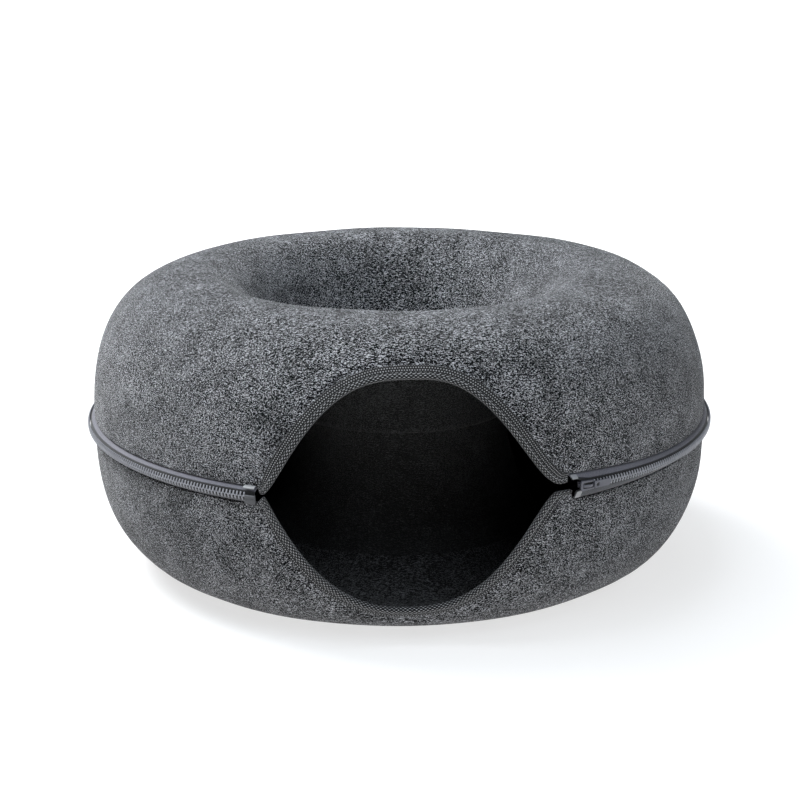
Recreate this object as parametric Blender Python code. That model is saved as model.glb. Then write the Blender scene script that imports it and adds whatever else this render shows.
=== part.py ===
"""Felt cat cave: a ring-shaped tunnel of two pressed felt shells that a zip joins round the outside.

Units are metres and +Z is up. The door faces -Y, and the model stands on z = 0 with the middle of its
bounding box over the origin. Around the ring, a place is given by an angle in degrees, 0 at the middle
of the door and positive towards +X, and by its arc: the distance over the outer face of the felt from
the zip's centre line, up over the upper shell or down over the lower one.
"""
from math import cos, exp, radians, sin

import bmesh
import bpy
import numpy as np
from mathutils import Matrix, Vector

# The ring
RING_RADIUS = 0.250          # outer face of the felt at the zip
RING_HEIGHT = 0.2362
RING_CENTRE_Y = -0.0093      # puts the bounding box over the origin: the door cuts the front short
CREST_RADIUS = 0.158         # circle on which the ring is highest
OUTER_FULLNESS = 2.57        # superellipse powers: 2 is an ellipse, more is squarer
HOLE_FULLNESS = 1.82
BASE_FLAT = 0.0015           # how far the lower crest is pressed flat by its own weight

# Felt
FELT = 0.004
UPPER_HOLE_RADIUS = 0.0890   # hole side of the upper shell's wall, which stands outside the lower one
LOWER_HOLE_RADIUS = 0.0847
UPPER_WALL_END = 0.1220      # height of the upper wall's cut edge, seen through the door
LOWER_WALL_BEND = 0.1140     # above this the lower wall is straight
LOWER_WALL_END = 0.1320      # it runs up past the upper wall's edge, so the two lap
GAP = 0.0003                 # kept between neighbouring solids

# Door: each half of an edge is an arch, peak * (1 - |across / width| ** power) ** foot
DOOR_EDGE = {
    "upper": {"peak": 0.0904, "centre": 1.3, "left": (26.0, 3.00, 1.36), "right": (24.8, 2.60, 1.71)},
    "lower": {"peak": 0.0924, "centre": -1.4, "left": (23.3, 2.17, 1.06), "right": (27.0, 2.77, 1.56)},
}
DOOR_ENDS = {"upper": (-25.1, 27.3), "lower": (-24.9, 28.2)}    # where the bindings end
SEAM_ENDS = {"upper": (-25.9, 27.8), "lower": (-26.1, 28.7)}    # where the felt's edge meets the zip
CORNER_ARC = 0.0010          # how near the zip's line the door's edges come at its corners
CORNER_LIFT = 0.0040         # the door's edge rides up at the right corner, where the slider parks
LIFT_TO_DOOR = 4.5           # degrees over which that fades
LIFT_TO_BACK = 17.0

# Binding: a woven tape folded over the door's edge, where it presses the felt thin
BINDING_TAPE = 0.0010
PRESSED_FELT = 0.0018
PRESSED_SINK = 0.0008        # how deep the pressed felt's outer face lies
BINDING_WIDTH = {"upper": 0.0100, "lower": 0.0075}
BINDING_INSIDE = 0.0090
BINDING_TAPERS = {"upper": (0.6, 0.8), "lower": (0.6, 0.3)}    # widths left at its two ends
TAPER_LENGTH = 4.0           # degrees
FELT_INSET = BINDING_TAPE + GAP + 0.0004                        # from the fold to the felt's cut edge

# Zip
SEAM_EDGE = {"upper": 0.0062, "lower": 0.0070}                  # arc of the felt's edge beside the zip
SEAM_WIDENING = {"upper": 0.0050, "lower": 0.0020}              # more of the tape shows by the slider
CHAIN_LIFT = 0.0025
ZIP_TAPE = 0.0010
TAPE_BEHIND_FELT = 0.0110
CHAIN_RADIUS = 0.2549
CHAIN_DEPTH = 0.0012
CHAIN_HALF = 0.0027
CHAIN_ENDS = (-27.5, 31.4)   # beside the retainer box and beside the slider's post
PARTING = {"upper": 0.0045, "lower": 0.0070}                    # how far the free tape ends spread
FILM_LENGTH = {"left": 2.0, "right": 1.1}                       # degrees of tape stiffened with film
FILM = 0.0004

# Mesh density
DOOR_COLUMNS = 31
RING_COLUMNS = 42
EDGE_ROWS = (0.0, 0.0050, 0.0105, 0.0155)                       # from the cut edge into the felt
BLEND_ROWS = 4
FAN_LEAN = 1.3               # the columns beside the door lean this much more than its own
FAN = 8.0                    # degrees over which that lean dies out
EVEN_ROWS = (0.125, 0.139, 0.152, 0.167, 0.182, 0.200, 0.220, 0.242, 0.267, 0.293)

COLOURS = {                  # base colour, roughness, metallic
    "felt": ((0.155, 0.157, 0.165), 0.95, 0.0),
    "binding": ((0.075, 0.075, 0.080), 0.85, 0.0),
    "zip_tape": ((0.175, 0.178, 0.195), 0.80, 0.0),
    "teeth": ((0.260, 0.265, 0.290), 0.45, 0.0),
    "slider": ((0.110, 0.112, 0.135), 0.40, 0.6),
    "retainer": ((0.330, 0.335, 0.345), 0.50, 0.0),
    "film": ((0.520, 0.525, 0.530), 0.45, 0.0),
}


# ---------------------------------------------------------------- the ring's surface

def shell_outline(side):
    """Samples one shell's outer face: arc, radius and height from the zip over the crest to the hole."""
    middle = RING_HEIGHT / 2
    turn = np.linspace(0, np.pi / 2, 400)
    if side == "upper":
        rise, wall, hole = middle, UPPER_WALL_END - middle, UPPER_HOLE_RADIUS
        end = wall
    else:
        rise, wall, hole = middle + BASE_FLAT, middle - LOWER_WALL_BEND, LOWER_HOLE_RADIUS
        end = middle - LOWER_WALL_END
    outer_radius = CREST_RADIUS + (RING_RADIUS - CREST_RADIUS) * np.cos(turn) ** (2 / OUTER_FULLNESS)
    outer_height = rise * np.sin(turn) ** (2 / OUTER_FULLNESS)
    hole_radius = CREST_RADIUS - (CREST_RADIUS - hole) * np.sin(turn) ** (2 / HOLE_FULLNESS)
    hole_height = wall + (rise - wall) * np.cos(turn) ** (2 / HOLE_FULLNESS)
    radius = np.concatenate([outer_radius, hole_radius[1:], [hole]])
    height = np.concatenate([outer_height, hole_height[1:], [end]])
    if side == "lower":
        height = np.minimum(height, middle)
    arc = np.concatenate([[0], np.cumsum(np.hypot(np.diff(radius), np.diff(height)))])
    even = np.linspace(0, arc[-1], 1200)
    return even, np.interp(even, arc, radius), np.interp(even, arc, height)


OUTLINES = {side: shell_outline(side) for side in ("upper", "lower")}
UP = {"upper": 1, "lower": -1}


def felt_point(side, angle, arc, depth=0.0):
    """Point on the felt at an angle and arc, sunk by a depth below its outer face."""
    arcs, radii, heights = OUTLINES[side]
    step = 0.001
    ahead, behind = min(arc + step, arcs[-1]), max(arc - step, 0.0)
    along = Vector((np.interp(ahead, arcs, radii) - np.interp(behind, arcs, radii),
                    np.interp(ahead, arcs, heights) - np.interp(behind, arcs, heights))).normalized()
    radius = np.interp(arc, arcs, radii) - depth * along.y
    height = np.interp(arc, arcs, heights) + depth * along.x
    return ring_point(angle, radius, RING_HEIGHT / 2 + UP[side] * height)


def ring_point(angle, radius, height):
    turn = radians(angle)
    return Vector((radius * sin(turn), RING_CENTRE_Y - radius * cos(turn), height))


def corner_lift(angle):
    """1 at the right corner of the door, fading out along the door and along the zip."""
    corner = DOOR_ENDS["upper"][1]
    fade = LIFT_TO_BACK if angle > corner else LIFT_TO_DOOR
    return exp(-((angle - corner) / fade) ** 2)


# ---------------------------------------------------------------- the edges of the felt

def door_arc(side, angle):
    """Arc of the binding's fold at an angle across the door."""
    edge = DOOR_EDGE[side]
    across = angle - edge["centre"]
    width, power, foot = edge["left" if across < 0 else "right"]
    arch = max(0.0, 1 - abs(across / width) ** power) ** foot
    lift = CORNER_LIFT * corner_lift(angle) if side == "upper" else 0.0
    return CORNER_ARC + (edge["peak"] - CORNER_ARC) * arch + lift


def seam_arc(side, angle):
    """Arc of the felt's cut edge beside the zip."""
    return SEAM_EDGE[side] + SEAM_WIDENING[side] * corner_lift(angle)


def arc_radius(side, arc):
    arcs, radii, _ = OUTLINES[side]
    return np.interp(arc, arcs, radii)


def door_stations(side):
    """Evenly spaced places along the fold, each with its angle, arc and direction into the felt."""
    left, right = DOOR_ENDS[side]
    angles = np.linspace(left, right, 500)
    arcs = np.array([door_arc(side, angle) for angle in angles])
    across = np.radians(np.diff(angles)) * arc_radius(side, arcs[1:])
    length = np.concatenate([[0], np.cumsum(np.hypot(across, np.diff(arcs)))])
    stations = []
    for place in np.linspace(0, length[-1], DOOR_COLUMNS):
        angle = np.interp(place, length, angles)
        reach = 1.8
        run = radians(2 * reach) * arc_radius(side, door_arc(side, angle))
        climb = door_arc(side, angle + reach) - door_arc(side, angle - reach)
        into = Vector((-climb, run)).normalized()
        stations.append((angle, door_arc(side, angle), into))
    return stations


def from_edge(side, station, inward, depth):
    """Point at a distance into the felt from a place on its edge."""
    angle, arc, into = station
    swing = np.degrees(inward * into.x / arc_radius(side, arc))
    return felt_point(side, angle + swing, arc + inward * into.y, depth)


def seam_angles(side):
    """Angles of the columns beside the zip, from the door's right corner round the back to its left."""
    left, right = SEAM_ENDS[side]
    return np.linspace(right, 360 + left, RING_COLUMNS)


# ---------------------------------------------------------------- building blocks

def material(name):
    colour, roughness, metallic = COLOURS[name]
    made = bpy.data.materials.new(name)
    made.use_nodes = True
    shader = made.node_tree.nodes["Principled BSDF"]
    shader.inputs["Base Color"].default_value = (*colour, 1)
    shader.inputs["Roughness"].default_value = roughness
    shader.inputs["Metallic"].default_value = metallic
    made.diffuse_color = (*colour, 1)
    return made


def finish(name, mesh, look, sharp_above=40):
    """Turns a bmesh into a named object with outward faces and its own material."""
    bmesh.ops.recalc_face_normals(mesh, faces=mesh.faces)
    if mesh.calc_volume(signed=True) < 0:
        bmesh.ops.reverse_faces(mesh, faces=mesh.faces)
    data = bpy.data.meshes.new(name)
    mesh.to_mesh(data)
    mesh.free()
    data.shade_smooth()
    data.set_sharp_from_angle(angle=radians(sharp_above))
    data.materials.append(material(look))
    made = bpy.data.objects.new(name, data)
    bpy.context.collection.objects.link(made)
    return made


def skin(mesh, grid, ring_rows, ring_columns):
    """Adds the faces of a grid of vertices, closing it along rows or columns where asked."""
    rows = len(grid) if ring_rows else len(grid) - 1
    columns = len(grid[0]) if ring_columns else len(grid[0]) - 1
    for i in range(rows):
        for j in range(columns):
            near, far = grid[i], grid[(i + 1) % len(grid)]
            after = (j + 1) % len(near)
            mesh.faces.new((near[j], far[j], far[after], near[after]))


def swept(name, sections, look):
    """A closed solid through a row of like sections, each a list of points, with flat ends."""
    mesh = bmesh.new()
    grid = [[mesh.verts.new(point) for point in section] for section in sections]
    skin(mesh, grid, ring_rows=False, ring_columns=True)
    mesh.faces.new(grid[0])
    mesh.faces.new(grid[-1])
    return finish(name, mesh, look)


# ---------------------------------------------------------------- felt shells

def felt_columns(side):
    """The shell's columns from its cut edge to the end of its wall, each a list of outer and inner points."""
    last = OUTLINES[side][0][-1]
    bend = last if side == "upper" else last - (LOWER_WALL_END - LOWER_WALL_BEND)
    shared_rows = sorted({*EVEN_ROWS, (EVEN_ROWS[-1] + bend) / 2, bend, last})

    def rest_of_column(start_angle, start_arc, end_angle):
        blend = [start_arc + (EVEN_ROWS[0] - start_arc) * k / BLEND_ROWS for k in range(1, BLEND_ROWS)]
        for arc in blend + shared_rows:
            share = min(1.0, (arc - start_arc) / (EVEN_ROWS[0] - start_arc))
            angle = start_angle + (end_angle - start_angle) * share
            yield felt_point(side, angle, arc), felt_point(side, angle, arc, FELT)

    columns = []
    left, right = DOOR_ENDS[side]
    reach = FELT_INSET + EDGE_ROWS[-1]
    stations = door_stations(side)
    leans = [np.degrees(reach * into.x / arc_radius(side, arc)) for _, arc, into in stations]
    for k, station in enumerate(stations):
        angle, arc, into = station
        column = []
        for row, inward in enumerate(EDGE_ROWS):
            pressed = row < len(EDGE_ROWS) - 1
            top = PRESSED_SINK if pressed else 0.0
            bottom = PRESSED_SINK + PRESSED_FELT if pressed else FELT
            place = FELT_INSET + inward
            column.append((from_edge(side, station, place, top), from_edge(side, station, place, bottom)))
        end_angle = left + (right - left) * k / (DOOR_COLUMNS - 1)
        column += rest_of_column(angle + leans[k], arc + reach * into.y, end_angle)
        columns.append(column)
    for angle in seam_angles(side):
        edge = seam_arc(side, angle)
        lean = FAN_LEAN * leans[0] * exp(-((360 + left - angle) / FAN) ** 2)
        lean += FAN_LEAN * leans[-1] * exp(-((angle - right) / FAN) ** 2)
        column = []
        for row in EDGE_ROWS:
            leaning = angle + lean * row / EDGE_ROWS[-1]
            column.append((felt_point(side, leaning, edge + row), felt_point(side, leaning, edge + row, FELT)))
        column += rest_of_column(angle + lean, edge + EDGE_ROWS[-1], angle)
        columns.append(column)
    return columns


def felt_shell(side):
    mesh = bmesh.new()
    outer, inner = [], []
    for column in felt_columns(side):
        outer.append([mesh.verts.new(pair[0]) for pair in column])
        inner.append([mesh.verts.new(pair[1]) for pair in column])
    skin(mesh, outer, ring_rows=True, ring_columns=False)
    skin(mesh, inner, ring_rows=True, ring_columns=False)
    for row in (0, -1):
        skin(mesh, [[a[row], b[row]] for a, b in zip(outer, inner)], ring_rows=True, ring_columns=False)
    return finish(side + "_shell", mesh, "felt", sharp_above=60)


# ---------------------------------------------------------------- door binding

def binding(side):
    """Woven tape folded over one edge of the door: an outer leg, the fold and an inner leg."""
    outer_face = PRESSED_SINK - GAP - BINDING_TAPE
    inner_face = PRESSED_SINK + PRESSED_FELT + GAP + BINDING_TAPE
    turn = BINDING_TAPE          # radius of the fold's corners
    left, right = DOOR_ENDS[side]
    sections = []
    for station in door_stations(side):
        angle = station[0]
        start, end = BINDING_TAPERS[side]
        width = BINDING_WIDTH[side]
        width *= start + (1 - start) * min(1, (angle - left) / TAPER_LENGTH)
        width *= end + (1 - end) * min(1, (right - angle) / TAPER_LENGTH)
        inside = min(BINDING_INSIDE, width)
        shape = [
            (width, outer_face), (turn, outer_face), (0, outer_face + turn),
            (0, inner_face - turn), (turn, inner_face), (inside, inner_face),
            (inside, inner_face - BINDING_TAPE), (turn + GAP, inner_face - BINDING_TAPE),
            (BINDING_TAPE, inner_face - BINDING_TAPE - GAP), (BINDING_TAPE, outer_face + BINDING_TAPE + GAP),
            (turn + GAP, outer_face + BINDING_TAPE), (width, outer_face + BINDING_TAPE),
        ]
        sections.append([from_edge(side, station, inward, depth) for inward, depth in shape])
    return swept(side + "_binding", sections, "binding")


# ---------------------------------------------------------------- zip

def zip_angles(side, left, right):
    """Angles of the zip's sections: the felt's own columns, cut to the zip's ends."""
    least = 0.3
    inside = [angle for angle in seam_angles(side) if right + least < angle < 360 + left - least]
    return [right, *inside, 360 + left]


def zip_point(side, angle, radius, height):
    """Point beside the chain: height is measured from the chain's own centre line."""
    centre = RING_HEIGHT / 2 + CHAIN_LIFT * corner_lift(angle)
    return ring_point(angle, radius, centre + UP[side] * height)


def tape_line(side, angle):
    """The tape's middle in section: down behind the felt, out under its edge and up to the chain."""
    edge = seam_arc(side, angle) - UP[side] * CHAIN_LIFT * corner_lift(angle)
    behind = RING_RADIUS - FELT - GAP - ZIP_TAPE
    parting = PARTING[side] * max(0.0, min(1.0, (CHAIN_ENDS[1] - angle) / 2.5))
    chain_edge = CHAIN_HALF + 0.0003 + 0.6 * parting
    edge = max(edge, chain_edge + 0.0018)
    return [
        (behind - 0.0002, edge + TAPE_BEHIND_FELT), (behind, edge + 0.0006),
        (behind + 0.0012, edge - 0.0009), (RING_RADIUS - 0.0004, edge - 0.0012),
        (CHAIN_RADIUS - 0.0023, chain_edge), (CHAIN_RADIUS - 0.0020, GAP + parting),
    ]


def offset_line(line, distance):
    """Moves an open line of points sideways by a distance."""
    moved = []
    for k, point in enumerate(line):
        before, after = line[max(k - 1, 0)], line[min(k + 1, len(line) - 1)]
        along = Vector((after[0] - before[0], after[1] - before[1])).normalized()
        moved.append((point[0] + distance * along.y, point[1] - distance * along.x))
    return moved


def zip_tape(side):
    sections = []
    for angle in zip_angles(side, *SEAM_ENDS[side]):
        line = tape_line(side, angle)
        section = offset_line(line, -ZIP_TAPE / 2) + offset_line(line, ZIP_TAPE / 2)[::-1]
        sections.append([zip_point(side, angle, *point) for point in section])
    return swept("zip_tape_" + side, sections, "zip_tape")


def zip_teeth(side):
    """One side of the chain as a plain strip of its real size."""
    inner, bevel = CHAIN_RADIUS - CHAIN_DEPTH, 0.0004
    shape = [
        (inner, GAP / 2), (CHAIN_RADIUS, GAP / 2), (CHAIN_RADIUS, CHAIN_HALF - bevel),
        (CHAIN_RADIUS - bevel, CHAIN_HALF), (inner, CHAIN_HALF),
    ]
    sections = [[zip_point(side, angle, *point) for point in shape]
                for angle in zip_angles(side, *CHAIN_ENDS)]
    return swept("zip_teeth_" + side, sections, "teeth")


def end_film(side, end):
    """The pale film that stiffens one end of a tape, on the part that shows."""
    outermost = SEAM_ENDS[side][0 if end == "left" else 1]
    inner = outermost + FILM_LENGTH[end] * (-1 if end == "left" else 1)
    clear = ZIP_TAPE / 2 + GAP
    sections = []
    for angle in (outermost, (outermost + inner) / 2, inner):
        edge, bend, free = [Vector(point) for point in tape_line(side, angle)[3:]]
        line = [edge.lerp(bend, 0.15), bend, bend.lerp(free, 0.5)]
        section = offset_line(line, -clear) + offset_line(line, -clear - FILM)[::-1]
        sections.append([zip_point(side, angle, *point) for point in section])
    return swept("end_film_%s_%s" % (side, end), sections, "film")


def zip_frame(angle, radius):
    """Frame on the chain at an angle: X along the zip, Y towards the ring's axis, Z up."""
    turn = Matrix.Rotation(radians(angle), 4, "Z")
    return Matrix.Translation(zip_point("upper", angle, radius, 0)) @ turn


def block(mesh, size, centre, rounding=0.0):
    """Adds a box to a bmesh, with its edges rounded."""
    made = bmesh.ops.create_cube(mesh, size=1)["verts"]
    bmesh.ops.scale(mesh, vec=size, verts=made)
    bmesh.ops.translate(mesh, vec=centre, verts=made)
    if rounding:
        edges = list({edge for vert in made for edge in vert.link_edges})
        bmesh.ops.bevel(mesh, geom=edges, offset=rounding, segments=1, affect="EDGES")


def place(name, mesh, frame, look):
    made = finish(name, mesh, look)
    made.matrix_world = frame
    return made


def retainer_box():
    """The box at the zip's left end that holds the two tapes' ends together."""
    length, height, depth, drop = 0.0084, 0.0066, 0.0024, 0.0020
    middle = CHAIN_ENDS[0] + 1.1
    mesh = bmesh.new()
    block(mesh, (length, depth, height), (0, 0, -drop), rounding=0.0005)
    return place("retainer_box", mesh, zip_frame(middle, CHAIN_RADIUS + 0.0005), "retainer")


def build_slider():
    """Slider at the door's right corner: a front plate with its lug, a post and a back plate."""
    length, height, plate = 0.0125, 0.0082, 0.0013
    lug_length, lug_rise, lug_bar = 0.0080, 0.0026, 0.0013
    front, back = CHAIN_RADIUS + GAP + plate / 2, CHAIN_RADIUS - 0.0041
    middle = CHAIN_ENDS[1] - 0.9
    pieces = [
        ((length, plate, height), (0, 0, 0), 0.0005),
        ((length * 0.8, plate, 0.0044), (0, front - back, 0), 0.0),
        ((0.0022, front - back, 0.0016), (-length * 0.32, (front - back) / 2, 0), 0.0),
        ((lug_bar, lug_rise, 0.0022), (lug_length / 2, -lug_rise / 2, 0), 0.0),
        ((lug_bar, lug_rise, 0.0022), (-lug_length / 2, -lug_rise / 2, 0), 0.0),
        ((lug_length + lug_bar, 0.0009, 0.0022), (0, -lug_rise, 0), 0.0004),
    ]
    made = None
    for k, (size, centre, rounding) in enumerate(pieces):
        mesh = bmesh.new()
        block(mesh, size, centre, rounding)
        if made is None:
            made = place("slider", mesh, zip_frame(middle, front), "slider")
            continue
        tool = place("slider_cutter_%d" % k, mesh, zip_frame(middle, front), "slider")
        tool.hide_render = True
        tool.display_type = "WIRE"
        join = made.modifiers.new("join_%d" % k, "BOOLEAN")
        join.operation = "UNION"
        join.solver = "EXACT"
        join.object = tool
    return made


def pull_tab():
    """Flat tab that hangs in the lug and lies back along the chain, with a slot for the lug's bar."""
    length, width, thickness, slot = 0.0150, 0.0054, 0.0009, 0.0032
    reach = CHAIN_RADIUS + GAP + 0.0013 + GAP + thickness / 2
    mesh = bmesh.new()
    block(mesh, (length, thickness, width), (length / 2, 0, 0), rounding=0.0002)
    made = place("pull_tab", mesh, zip_frame(CHAIN_ENDS[1] + 0.2, reach), "slider")
    cutter = bmesh.new()
    block(cutter, (slot, 4 * thickness, 0.0028), (slot / 2 + 0.0010, 0, 0))
    tool = place("tab_cutter", cutter, made.matrix_world.copy(), "slider")
    tool.hide_render = True
    tool.display_type = "WIRE"
    cut = made.modifiers.new("slot", "BOOLEAN")
    cut.operation = "DIFFERENCE"
    cut.solver = "EXACT"
    cut.object = tool
    return made


def remove_everything():
    for old in list(bpy.data.objects):
        bpy.data.objects.remove(old, do_unlink=True)


def main():
    remove_everything()
    for side in ("upper", "lower"):
        felt_shell(side)
        binding(side)
        zip_tape(side)
        zip_teeth(side)
    retainer_box()
    end_film("upper", "left")
    end_film("upper", "right")
    end_film("lower", "right")
    build_slider()
    pull_tab()


main()
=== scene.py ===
"""The looks of the felt cat cave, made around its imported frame. Metres, +Z up, the door faces -Y."""
from math import cos, pi, radians, sin

import bmesh
import bpy
import numpy as np
from mathutils import Matrix, Vector


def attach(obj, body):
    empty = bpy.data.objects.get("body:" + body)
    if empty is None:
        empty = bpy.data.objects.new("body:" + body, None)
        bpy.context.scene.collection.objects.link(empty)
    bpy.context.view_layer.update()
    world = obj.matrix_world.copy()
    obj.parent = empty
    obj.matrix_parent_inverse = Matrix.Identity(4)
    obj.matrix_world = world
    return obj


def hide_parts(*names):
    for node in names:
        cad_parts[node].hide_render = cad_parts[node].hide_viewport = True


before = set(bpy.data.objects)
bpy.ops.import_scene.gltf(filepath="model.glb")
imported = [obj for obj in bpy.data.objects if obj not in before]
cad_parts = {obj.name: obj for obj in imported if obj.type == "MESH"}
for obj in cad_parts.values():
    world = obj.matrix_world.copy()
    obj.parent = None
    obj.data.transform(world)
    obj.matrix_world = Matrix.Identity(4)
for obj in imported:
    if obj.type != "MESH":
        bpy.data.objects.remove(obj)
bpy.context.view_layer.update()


# ---------------------------------------------------------------- felt shells
# Two nearly mirror-image shells of grey pressed felt, 4 mm thick, moulded to a ring 50 cm across.
# The felt is heathered: pale and dark fibres lie crossed in it. Round the door it is pressed thin
# for the binding, and inside the hole the upper wall laps over the lower one.

# Angles are degrees round the ring from the middle of the door, and arcs are metres along a shell's
# section, from the zip over the crest to the hole.
RING_RADIUS, RING_HEIGHT, RING_CENTRE_Y, CREST_RADIUS = 0.250, 0.2362, -0.0093, 0.158
OUTER_FULLNESS, HOLE_FULLNESS, BASE_FLAT = 2.57, 1.82, 0.0015
FELT = 0.004
HOLE_RADIUS = {"upper": 0.0890, "lower": 0.0847}
WALL_BEND = {"upper": 0.1220, "lower": 0.1140}
WALL_END = {"upper": 0.1220, "lower": 0.1320}
OUTLINE_POINTS, EVEN_POINTS = 400, 2400
DOOR_EDGE = {   # arc at the peak, angle of the peak, and to each side: width, power and foot
    "upper": {"peak": 0.0904, "centre": 1.3, "left": (26.0, 3.00, 1.36), "right": (24.8, 2.60, 1.71)},
    "lower": {"peak": 0.0924, "centre": -1.4, "left": (23.3, 2.17, 1.06), "right": (27.0, 2.77, 1.56)},
}
DOOR_ENDS = {"upper": (-25.1, 27.3), "lower": (-24.9, 28.2)}
DOOR_POINTS, DOOR_SLOPE_REACH = 2000, 1.8
SEAM_ENDS = {"upper": (-25.9, 27.8), "lower": (-26.1, 28.7)}
CORNER_ARC, CORNER_LIFT, LIFT_TO_DOOR, LIFT_TO_BACK = 0.0010, 0.0040, 4.5, 17.0
SEAM_EDGE = {"upper": 0.0062, "lower": 0.0070}
SEAM_WIDENING = {"upper": 0.0050, "lower": 0.0020}
BINDING_TAPE, GAP, PRESSED_FELT, PRESSED_SINK = 0.0010, 0.0003, 0.0018, 0.0008
FELT_INSET = BINDING_TAPE + GAP + 0.0004
UP = {"upper": 1, "lower": -1}


def shell_outline(side):
    """Arc, radius and height of a shell's outer face, from the zip over the crest to the hole."""
    middle = RING_HEIGHT / 2
    turn = np.linspace(0, pi / 2, OUTLINE_POINTS)
    rise = middle + (BASE_FLAT if side == "lower" else 0.0)
    wall, end = UP[side] * (WALL_BEND[side] - middle), UP[side] * (WALL_END[side] - middle)
    shoulder, throat = RING_RADIUS - CREST_RADIUS, CREST_RADIUS - HOLE_RADIUS[side]
    outer_radius = CREST_RADIUS + shoulder * np.cos(turn) ** (2 / OUTER_FULLNESS)
    outer_height = rise * np.sin(turn) ** (2 / OUTER_FULLNESS)
    hole_radius = CREST_RADIUS - throat * np.sin(turn) ** (2 / HOLE_FULLNESS)
    hole_height = wall + (rise - wall) * np.cos(turn) ** (2 / HOLE_FULLNESS)
    radius = np.concatenate([outer_radius, hole_radius[1:], [HOLE_RADIUS[side]]])
    height = np.minimum(np.concatenate([outer_height, hole_height[1:], [end]]), middle)
    arc = np.concatenate([[0], np.cumsum(np.hypot(np.diff(radius), np.diff(height)))])
    even = np.linspace(0, arc[-1], EVEN_POINTS)
    return even, np.interp(even, arc, radius), np.interp(even, arc, height)


OUTLINES = {side: shell_outline(side) for side in UP}
LAST_ARC = {side: OUTLINES[side][0][-1] for side in UP}


def ring_points(angle, radius, height):
    turn = np.radians(angle)
    across, along = radius * np.sin(turn), RING_CENTRE_Y - radius * np.cos(turn)
    return np.stack(np.broadcast_arrays(across, along, height), axis=-1)


def felt_points(side, angle, arc, depth):
    """Points on the felt at ring angles and arcs, sunk by a depth below its outer face."""
    arcs, radii, heights = OUTLINES[side]
    slope_reach = 0.001
    ahead, behind = np.minimum(arc + slope_reach, arcs[-1]), np.maximum(arc - slope_reach, 0)
    run = np.interp(ahead, arcs, radii) - np.interp(behind, arcs, radii)
    rise = np.interp(ahead, arcs, heights) - np.interp(behind, arcs, heights)
    reach = np.hypot(run, rise)
    radius = np.interp(arc, arcs, radii) - depth * rise / reach
    height = np.interp(arc, arcs, heights) + depth * run / reach
    return ring_points(angle, radius, RING_HEIGHT / 2 + UP[side] * height)


def arc_radius(side, arc):
    return np.interp(arc, *OUTLINES[side][:2])


def corner_lift(angle):
    """1 at the door's right corner, fading out along the door and along the zip."""
    away = angle - DOOR_ENDS["upper"][1]
    return np.exp(-(away / np.where(away > 0, LIFT_TO_BACK, LIFT_TO_DOOR)) ** 2)


def door_arc(side, angle):
    """Arc of the binding's fold at an angle across the door."""
    edge = DOOR_EDGE[side]
    across = angle - edge["centre"]
    width, power, foot = (np.where(across < 0, *pair) for pair in zip(edge["left"], edge["right"]))
    arch = np.maximum(0, 1 - np.abs(across / width) ** power) ** foot
    lift = CORNER_LIFT * corner_lift(angle) if side == "upper" else 0
    return CORNER_ARC + (edge["peak"] - CORNER_ARC) * arch + lift


def door_stations(side, count):
    """Even places along the fold: angle, arc, direction into the felt and length so far."""
    angles = np.linspace(*DOOR_ENDS[side], DOOR_POINTS)
    arcs = door_arc(side, angles)
    steps = np.hypot(np.radians(np.diff(angles)) * arc_radius(side, arcs[1:]), np.diff(arcs))
    length = np.concatenate([[0], np.cumsum(steps)])
    place = np.linspace(0, length[-1], count)
    angle = np.interp(place, length, angles)
    arc = door_arc(side, angle)
    run = np.radians(2 * DOOR_SLOPE_REACH) * arc_radius(side, arc)
    climb = door_arc(side, angle + DOOR_SLOPE_REACH) - door_arc(side, angle - DOOR_SLOPE_REACH)
    into = np.stack([-climb, run], axis=-1) / np.hypot(climb, run)[:, None]
    return angle, arc, into, place


def from_edge(side, stations, inward, depth):
    """Points at distances into the felt from places on the door's edge."""
    angle, arc, into, _ = stations
    swing = np.degrees(inward * into[:, 0] / arc_radius(side, arc))
    return felt_points(side, angle + swing, arc + inward * into[:, 1], depth)


def smooth(value, low, high):
    """0 below low, 1 above high, with a smooth step between."""
    share = np.clip((value - low) / (high - low), 0, 1)
    return share * share * (3 - 2 * share)


def new_piece(name, points, faces, uvs=None):
    """A mesh object from points and faces, with outward normals and, if given, a UV for each point."""
    data = bpy.data.meshes.new(name)
    data.from_pydata([tuple(p) for p in np.asarray(points).reshape(-1, 3)], [], faces)
    if uvs is not None:
        layer = data.uv_layers.new(name="cloth")
        flat = np.asarray(uvs).reshape(-1, 2)
        loops = np.empty(len(data.loops), dtype=np.int32)
        data.loops.foreach_get("vertex_index", loops)
        layer.data.foreach_set("uv", flat[loops].ravel())
    mesh = bmesh.new()
    mesh.from_mesh(data)
    bmesh.ops.recalc_face_normals(mesh, faces=mesh.faces)
    if mesh.calc_volume(signed=True) < 0:
        bmesh.ops.reverse_faces(mesh, faces=mesh.faces)
    mesh.to_mesh(data)
    mesh.free()
    data.shade_smooth()
    made = bpy.data.objects.new(name, data)
    bpy.context.collection.objects.link(made)
    return made


def grid_faces(rows, columns, ring_rows=False, ring_columns=False, start=0):
    """Quads over a grid of points that is stored row after row."""
    faces = []
    for i in range(rows if ring_rows else rows - 1):
        for j in range(columns if ring_columns else columns - 1):
            near, far = i * columns, (i + 1) % rows * columns
            after = (j + 1) % columns
            faces.append(tuple(start + k for k in (near + j, far + j, far + after, near + after)))
    return faces


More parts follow.
